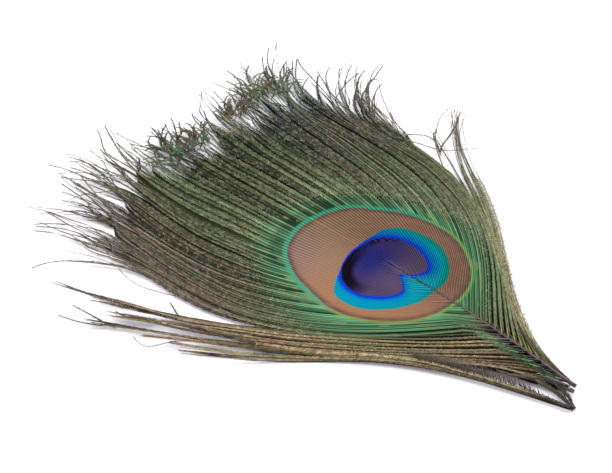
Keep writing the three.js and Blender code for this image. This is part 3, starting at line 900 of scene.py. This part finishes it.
def add_blades(surface, barbs, index, at, side, band, bands, rng):
    """Bent blades at places along a barb, each on one side of it."""
    count, arc, station = len(at), barbs.arc[index], barbs.stations[index]
    length = blade_lengths(barbs, index, at) * rng.uniform(0.7, 1.12, count)
    lean = BARBULE_LEAN + rng.normal(0.0, 6.0, count)
    pale = np.zeros(count, bool)
    fringe = np.zeros(count, bool)
    if barbs.side < 0 and FENCE_STATION < station < STEM_STATIONS[0]:
        reach, share, extra_lean = FENCE
        pale = picked(at, side, reach, share, rng)
        tall = rng.uniform(0.5, 1.0, count) * (0.8 + 3.8 * smooth(at, 3.0, 16.0))
        length = np.where(pale, tall, np.maximum(length, 0.8))
        lean = np.where(pale, lean + extra_lean, lean + FENCE_NEIGHBOUR_LEAN)
    if barbs.side > 0 and station < FRINGE_STATION:
        reach, share, extra_lean = FRINGE
        fringe = picked(at, side, reach, share, rng)
        length = np.where(fringe, rng.uniform(0.5, 1.5, count), length)
        lean = np.where(fringe, lean + extra_lean, lean)
    base, way, breadth, up = blade_ways(barbs, index, at, side, lean, rng)
    half = 0.5 * BARBULE_WIDTH * (rng.uniform(0.7, 1.2, count) * np.where(pale, 0.6, 1.0))[:, None]
    middle = base + way * (0.42 * length)[:, None] + up * (0.05 * length)[:, None]
    tip = base + way * length[:, None] - up * (0.1 * length)[:, None]
    for points in (middle, tip):
        points[:, 2] = np.maximum(points[:, 2], LOWEST_BARBULE)
    vertices = np.stack([base, middle - breadth * half, tip, middle + breadth * half], axis=1)
    corner = np.arange(count * 4).reshape(count, 4)
    faces = np.concatenate([corner[:, [0, 1, 3]], corner[:, [1, 2, 3]]])
    knots = np.arange(0.0, arc[-1] + 1.0, 0.7)
    clumps = np.interp(at, knots, rng.uniform(0.0, 1.0, len(knots)))
    tone = 0.55 * clumps + 0.45 * rng.uniform(0.0, 1.0, count)
    tone[pale] = PALE_TONE
    tone[fringe] = rng.uniform(0.6, 1.0, int(fringe.sum()))
    shape = (count, 4)
    barb_tone = np.interp(at, arc, barbs.tone[index])[:, None]
    u = (at[:, None] + np.array([0.0, -0.45, 0.0, 0.45]) * BARBULE_PITCH) / UV_LENGTH
    v = band + side[:, None] * np.array([0.02, 0.22, 0.47, 0.22]) / bands
    surface.add(
        vertices.reshape(-1, 3),
        faces,
        columns(shape, vertices[..., 0], vertices[..., 1], at[:, None]),
        columns(shape, barb_tone, tone[:, None], [0.0, 0.45, 1.0, 0.45]),
        np.repeat(sampled(barbs.fields[index], arc, at), 4, axis=0),
        columns(shape, u, v),
    )


# --- Materials ---


def linear(code):
    """A colour written as RRGGBB, in linear light."""
    shares = [int(code[start : start + 2], 16) / 255 for start in (0, 2, 4)]
    return [share / 12.92 if share <= 0.04045 else ((share + 0.055) / 1.055) ** 2.4 for share in shares]


class Value:
    """A number that a material works out, for use in sums and products."""

    def __init__(self, nodes, socket):
        self.nodes = nodes
        self.socket = socket

    def __add__(self, other):
        return self.nodes.math("ADD", self, other)

    def __sub__(self, other):
        return self.nodes.math("SUBTRACT", self, other)

    def __rsub__(self, other):
        return self.nodes.math("SUBTRACT", other, self)

    def __mul__(self, other):
        return self.nodes.math("MULTIPLY", self, other)

    def or_more(self, other):
        return self.nodes.math("MAXIMUM", self, other)

    def step(self, low, high):
        """0 at low and 1 at high, smooth between them; low may be the larger."""
        node = self.nodes.new("ShaderNodeMapRange")
        node.interpolation_type = "SMOOTHSTEP"
        ends = (0.0, 1.0) if low < high else (1.0, 0.0)
        for name, value in zip(("Value", "From Min", "From Max"), (self, min(low, high), max(low, high))):
            self.nodes.put(node.inputs[name], value)
        node.inputs["To Min"].default_value, node.inputs["To Max"].default_value = ends
        return Value(self.nodes, node.outputs["Result"])


class Nodes:
    """A short way to write a material's nodes."""

    def __init__(self, name):
        self.material = bpy.data.materials.new(name)
        self.material.use_nodes = True
        self.new = self.material.node_tree.nodes.new
        self.shader = self.material.node_tree.nodes["Principled BSDF"]

    def put(self, socket, value):
        if isinstance(value, Value):
            value = value.socket
        if isinstance(value, bpy.types.NodeSocket):
            self.material.node_tree.links.new(value, socket)
        elif isinstance(value, str):
            socket.default_value = (*linear(value), 1.0)
        else:
            socket.default_value = value

    def math(self, operation, first, second=0.0):
        node = self.new("ShaderNodeMath")
        node.operation = operation
        self.put(node.inputs[0], first)
        self.put(node.inputs[1], second)
        return Value(self, node.outputs[0])

    def mix(self, share, first, second, blend="MIX"):
        node = self.new("ShaderNodeMix")
        node.data_type = "RGBA"
        node.blend_type = blend
        for number, value in ((0, share), (6, first), (7, second)):
            self.put(node.inputs[number], value)
        return node.outputs[2]

    def paint(self, colour, roughness, specular):
        """Gives the shader a colour, at the depth that suits the bright stage, and its gloss."""
        self.put(self.shader.inputs["Base Color"], self.mix(1.0, colour, PAINT_DEPTH, "MULTIPLY"))
        self.shader.inputs["Roughness"].default_value = roughness
        self.shader.inputs["Specular IOR Level"].default_value = specular
        return self.material

    def attribute(self, name):
        """One of the mesh's guides as a vector, and its three numbers."""
        node = self.new("ShaderNodeAttribute")
        node.attribute_name = name
        parts = self.new("ShaderNodeSeparateXYZ")
        self.put(parts.inputs[0], node.outputs["Vector"])
        return node.outputs["Vector"], [Value(self, part) for part in parts.outputs]

    def vector(self, x, y):
        node = self.new("ShaderNodeCombineXYZ")
        self.put(node.inputs[0], x)
        self.put(node.inputs[1], y)
        return node.outputs[0]

    def noise(self, vector, scale, detail=2.0, roughness=0.5):
        node = self.new("ShaderNodeTexNoise")
        names = ("Vector", "Scale", "Detail", "Roughness")
        for name, value in zip(names, (vector, scale, detail, roughness)):
            self.put(node.inputs[name], value)
        return Value(self, node.outputs["Fac"])


class BarbNodes(Nodes):
    """The nodes of a material for barbs, with the guides that their meshes carry."""

    def __init__(self, name):
        super().__init__(name)
        self.place, (self.x, self.y, self.run) = self.attribute("place")
        self.ring, self.pool, self.heart = self.attribute("zones")[1]
        self.tone, self.blade, self.reach = self.attribute("tones")[1]
        self.gold, self.teal, self.brown = self.attribute("fields")[1]


def eye_colours(nodes, outer):
    """The eye painted over the outer barbs' colour, by the distances from its outlines in mm."""
    mix, x, y = nodes.mix, nodes.x, nodes.y
    jitter = (nodes.tone - 0.5) * 0.22
    rim, shore, core = nodes.ring + jitter, nodes.pool + jitter, nodes.heart + jitter
    left = x.step(6.0, -16.0)

    low_bronze = mix(left, "8E6B58", "AC7E5C")
    bronze = mix(y.step(58.0, 80.0), low_bronze, mix(left, "8C7156", "967D72"))
    bronze = mix(rim.step(-2.4, -0.5), bronze, "70524C")
    bronze = mix(nodes.noise(nodes.place, 0.35).step(0.4, 0.7) * 0.3, bronze, "9A845E")

    water = mix(shore.step(-0.1, -2.2), "008C7A", "009AA8")
    water = mix(core.step(4.2, 1.6), water, "0078AE")
    water = mix(left * 0.6, water, "00A4C4")
    water = mix(core.step(1.9, 0.4), water, "0A3FC8")

    lobes = mix(y.step(60.0, 51.0), "2A2B73", "60506C")
    sides = nodes.math("ABSOLUTE", x + 1.8).step(2.0, 8.0)
    lobes = mix(sides * 0.5, lobes, "503F60")
    dusk = core.step(-4.2, -2.0) * y.step(53.0, 59.0) * x.step(2.0, -6.0)
    lobes = mix(dusk, lobes, "150D18")
    speckle = nodes.noise(nodes.place, 1.6, 3.0).step(0.42, 0.6)
    lobes = mix(core.step(-2.6, -0.8) * y.step(58.0, 62.0) * speckle, lobes, "150D18")

    low = y.step(66.0, 52.0)
    high_ring = mix(left, "3FA27E", "55A684")
    ring_colour = mix(low, high_ring, mix(left, "7FB45E", "96984E"))
    colour = mix((rim + low * 0.55).step(1.25, 0.3), outer, ring_colour)
    colour = mix(rim.step(-0.2, -0.75), colour, bronze)
    colour = mix(shore.step(0.25, -0.15), colour, water)
    return mix(core.step(0.25, -0.2), colour, lobes)


def outer_colours(nodes):
    """The barbs outside the eye: emerald beside it, then olive, with gold, teal and brown parts."""
    mix, x, tone, beyond = nodes.mix, nodes.x, nodes.tone, nodes.ring
    mottle = nodes.noise(nodes.place, 0.9, 4.0, 0.65)
    drift = nodes.noise(nodes.place, 0.11)
    streak = nodes.noise(nodes.vector(tone * 34.0, nodes.run * 0.09), 1.0)

    olive = mix(tone, "242D23", "6F8A5A")
    olive = mix(beyond.step(26.0, 3.0), olive, mix(tone, "3E4C36", "A8BE86"))
    olive = mix(drift.step(0.4, 0.65) * 0.4, olive, "66684A")
    olive = mix(streak.step(0.55, 0.7) * 0.4, olive, "7A5E46")
    olive = mix(beyond.step(18.0, 34.0) * x.step(-14.0, 8.0) * 0.4, olive, "1E221C")
    teal = mix(tone, "1F2E2E", "446C63")
    teal = mix(nodes.teal.step(1.0, 1.4), teal, mix(tone, "2A6A40", "62B876"))
    brown = mix(tone, "2A2223", "85756B")
    gold = mix(mottle.step(0.4, 0.62), "AC8878", "E4CC8E")
    gold = mix(streak.step(0.5, 0.38) * 0.75, gold, "6F8450")
    gold = mix(streak.step(0.52, 0.64) * 0.7, gold, "9A6E60")
    gold = mix(tone.step(0.1, 0.7), "3A2A26", gold)
    colour = mix(nodes.brown * FIELD_DEPTH, olive, brown)
    colour = mix(nodes.teal * FIELD_DEPTH, colour, teal)
    colour = mix(nodes.gold * FIELD_DEPTH, colour, gold)
    near = (beyond * (x.step(0.0, 12.0) * 0.6 + 1.0)).step(12.0, 0.5)
    emerald = mix(tone.step(0.05, 0.75), "24442F", "7CC48C")
    emerald = mix(streak.step(0.56, 0.66), emerald, "96A066")
    colour = mix(near * (1.0 - nodes.gold * 0.6), colour, emerald)
    above = nodes.y.step(72.0, 82.0) * beyond.step(5.5, 3.0)
    return mix(above * 0.5, colour, "2C3428")


def web_material():
    nodes = BarbNodes("eye_web")
    mix, x, y, run, reach = nodes.mix, nodes.x, nodes.y, nodes.run, nodes.reach
    colour = eye_colours(nodes, outer_colours(nodes))
    right = x.step(-6.0, 6.0)
    beyond = nodes.ring.step(-1.0, 3.0)

    hatch = nodes.math("SINE", run * 13.0 - reach * 5.0).step(-0.4, 1.0)
    colour = mix(hatch * (right.or_more(beyond) * 0.3 + 0.12), colour, "0B0A10")

    # painted shade in the low edges of each ribbon, in the valleys between the ribs
    painted_groove_shade = right.or_more(y.step(66.0, 84.0)) * 0.5 + 0.25
    painted_groove_shade = painted_groove_shade.or_more(beyond * 0.75) * reach.step(0.35, 0.9)
    colour = mix(painted_groove_shade, colour, "07070A")

    # darkening of the lower barbules and the downy strip, partly their own darker colour and partly painted
    # shade in the gaps between the strands; it deepens away from the eye, low on the feather, beside the
    # right edge and at the feet
    foot = run.step(12.0, 5.0) * y.step(32.0, 24.0)
    beside = x.step(10.0, 18.0) * y.step(85.0, 65.0)
    low = y.step(60.0, 42.0).or_more(beside)
    shade = (nodes.ring.step(0.0, 14.0) * 0.28 + 0.3).or_more(low * 0.82).or_more(foot * 0.92)
    return nodes.paint(mix(nodes.blade.step(0.4, 0.1) * shade, colour, "100D0B"), 0.5, 0.0)


def barbule_material():
    nodes = BarbNodes("barbules")
    mix, x, y, run, blade = nodes.mix, nodes.x, nodes.y, nodes.run, nodes.blade
    colour = eye_colours(nodes, outer_colours(nodes))
    flecks = nodes.noise(nodes.place, 1.4, 3.0)
    far = run.step(58.0, 78.0).or_more(x.step(14.0, 24.0))
    colour = mix(flecks.step(0.58, 0.66) * (far * 0.5 + 0.15), colour, "96644A")
    colour = mix(flecks.step(0.44, 0.38) * x.step(8.0, 26.0) * 0.45, colour, "3E6A78")
    colour = mix(blade.step(0.56, 0.8) * 0.55, colour, mix(0.5, colour, "C8C290"))
    colour = mix(blade.step(0.44, 0.2) * 0.6, colour, "0E0D0A")
    colour = mix(nodes.reach.step(0.5, 1.0) * 0.2, colour, "14110D")
    colour = mix(blade.step(1.2, 1.8), colour, mix(nodes.reach, "33291B", "71675C"))
    foot = run.step(17.0, 6.0) * y.step(22.0, 12.0) * nodes.teal.step(1.4, 1.0)
    return nodes.paint(mix(foot * 0.6, colour, "2A211D"), 0.5, 0.1)


def rib_material():
    nodes = BarbNodes("barb_ribs")
    mix, y, run, tone = nodes.mix, nodes.y, nodes.run, nodes.tone
    plain = mix(tone, "2F2A20", "868256")
    plain = mix(nodes.ring.step(12.0, 2.0), plain, mix(tone, "2E4A30", "7CB87A"))
    colour = mix(nodes.gold * 0.7, plain, "A08A60")
    hues = nodes.noise(nodes.vector(tone * 40.0, 0.5), 1.0, 1.0)
    tips = mix(hues.step(0.5, 0.62), mix(hues.step(0.48, 0.36), "6E6C4A", "466668"), "A0705A")
    colour = mix(run.step(68.0, 88.0) * 0.85, colour, tips)
    foot = mix(nodes.reach, "1C1614", mix(nodes.blade, "A4A85A", "8A7278"))
    colour = mix(run.step(11.0, 5.0) * y.step(30.0, 22.0) * 0.9, colour, foot)
    return nodes.paint(mix(nodes.ring.step(2.0, 0.2), colour, eye_colours(nodes, colour)), 0.45, 0.1)


def shaft_material():
    nodes = Nodes("shaft_keratin")
    stretch = nodes.new("ShaderNodeMapping")
    stretch.inputs["Scale"].default_value = (2500.0, 220.0, 2500.0)
    nodes.put(stretch.inputs["Vector"], nodes.new("ShaderNodeTexCoord").outputs["Object"])
    grain = nodes.noise(stretch.outputs[0], 1.0, 3.0)
    return nodes.paint(nodes.mix(grain.step(0.35, 0.65), "2B2024", "5B474E"), 0.35, 0.5)


# --- Shaft piece ---


def rod(path, radii, sides=12):
    """Vertices and faces of a tapered rod along a path, closed at both ends."""
    path = np.array(path, float)
    radii = np.asarray(radii, float)[:, None]
    along = unit(np.gradient(path, axis=0))
    across = unit(np.cross(along, [0.0, 0.0, 1.0]))
    up = np.cross(across, along)
    turns = np.linspace(0.0, math.tau, sides, endpoint=False)
    rings = [path + radii * (math.cos(turn) * across + math.sin(turn) * up) for turn in turns]
    corner = np.arange(len(path) * sides).reshape(len(path), sides)
    here, ahead = corner[:-1], corner[1:]
    beside, beyond = np.roll(here, -1, axis=1), np.roll(ahead, -1, axis=1)
    faces = np.stack([here, ahead, beyond, beside], axis=-1).reshape(-1, 4).tolist()
    faces += [corner[0].tolist(), corner[-1][::-1].tolist()]
    return np.stack(rings, axis=1).reshape(-1, 3), faces


def stem_rod(points, start_radius, end_radius):
    t = np.linspace(0.0, 1.0, 16)
    plan = sampled(np.array(points), np.linspace(0.0, 1.0, len(points)), t)
    level = rest_height(plan[:, 0], plan[:, 1]) + STEM_LEVEL
    return rod(np.column_stack([plan, level]), start_radius + (end_radius - start_radius) * t)


def shaft_piece(material):
    y = np.linspace(-SHAFT_OVERHANG, SHAFT_LENGTH, 60)
    x = shaft_x(np.maximum(y, 0.0))
    level = rest_height(x, y) + SHAFT_LEVEL
    rods = [rod(np.stack([x, y, level], axis=1), np.interp(y, *zip(*SHAFT_RADII)))]
    rods += [stem_rod(*stem) for stem in STEMS]
    vertices, faces = [], []
    for rod_vertices, rod_faces in rods:
        first = len(vertices)
        faces += [[corner + first for corner in face] for face in rod_faces]
        vertices += ((rod_vertices + PLAN_ORIGIN) * MM).tolist()
    mesh = bpy.data.meshes.new("shaft_quill")
    mesh.from_pydata(vertices, [], faces)
    mesh.polygons.foreach_set("use_smooth", np.full(len(mesh.polygons), True))
    mesh.materials.append(material)
    piece = in_scene("shaft_quill", mesh)
    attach(piece, "root")
    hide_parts("shaft")


# --- Vane pieces ---


def vane_pieces(name, side, guides, lowest, strays, materials, seed):
    rng = np.random.default_rng(seed)
    barbs = Barbs(side, guides, lowest, strays + tuft_strays(side, rng), rng)
    web, ribs, loose = materials
    halves = np.array_split(np.arange(barbs.count), 2)
    pieces = (
        ("eye_web", web, add_web, ()),
        # the lower barbules, dark partly with painted shade between the strands
        ("lower_barbules_and_painted_shade", web, add_underlay, (rng,)),
        ("ribs", ribs, add_ribs, ()),
        ("barbules_1", loose, add_barbules, (halves[0], rng)),
        ("barbules_2", loose, add_barbules, (halves[1], rng)),
    )
    for piece, material, add, details in pieces:
        surface = Surface()
        add(surface, barbs, *details)
        surface.build(f"{name}_{piece}", material, f"{name}_vane", piece == "ribs")


# --- Studio ---


def add_floor():
    mesh = bpy.data.meshes.new("floor")
    corners = [(-1, -1, 0), (1, -1, 0), (1, 1, 0), (-1, 1, 0)]
    mesh.from_pydata((FLOOR_HALF * np.array(corners)).tolist(), [], [(0, 1, 2, 3)])
    nodes = Nodes("floor_white")
    nodes.shader.inputs["Base Color"].default_value = (0.96, 0.96, 0.97, 1.0)
    nodes.shader.inputs["Roughness"].default_value = 0.9
    mesh.materials.append(nodes.material)
    floor = in_scene("floor", mesh)


def add_light(name, place, size, power):
    """A round soft light that points at the middle of the feather."""
    data = bpy.data.lights.new(name, "AREA")
    data.shape = "DISK"
    data.size = size
    data.energy = power
    lamp = in_scene(name, data)
    lamp.location = place
    lamp.rotation_euler = (-Vector(place)).to_track_quat("-Z", "Y").to_euler()


def add_world():
    world = bpy.data.worlds.new("studio")
    world.use_nodes = True
    world.node_tree.nodes["Background"].inputs["Color"].default_value = (0.96, 0.93, 1.0, 1.0)
    world.node_tree.nodes["Background"].inputs["Strength"].default_value = 1.15
    bpy.context.scene.world = world


def add_camera():
    azimuth, elevation = math.radians(CAMERA_AZIMUTH), math.radians(CAMERA_ELEVATION)
    level = math.cos(elevation)
    back = Vector((math.sin(azimuth) * level, -math.cos(azimuth) * level, math.sin(elevation)))
    data = bpy.data.cameras.new("camera")
    data.lens = CAMERA_LENS
    data.sensor_width = 36.0
    data.clip_start = 0.01
    camera = in_scene("camera", data)
    camera.location = Vector((CAMERA_TARGET + PLAN_ORIGIN) * MM) + back * CAMERA_DISTANCE * MM
    camera.rotation_euler = (-back).to_track_quat("-Z", "Y").to_euler()
    bpy.context.scene.camera = camera


add_camera()
add_world()
add_floor()
add_light("key", (0.08, 0.16, 0.85), 0.9, 4.6)
bpy.context.scene.view_settings.view_transform = "Standard"

shaft_piece(shaft_material())
vane_materials = (web_material(), rib_material(), barbule_material())
vane_pieces("left", -1.0, LEFT_GUIDES, -6.0, LEFT_STRAYS + STEM_FUZZ, vane_materials, SEED)
vane_pieces("right", 1.0, RIGHT_GUIDES, 0.0, RIGHT_STRAYS, vane_materials, SEED + 1)
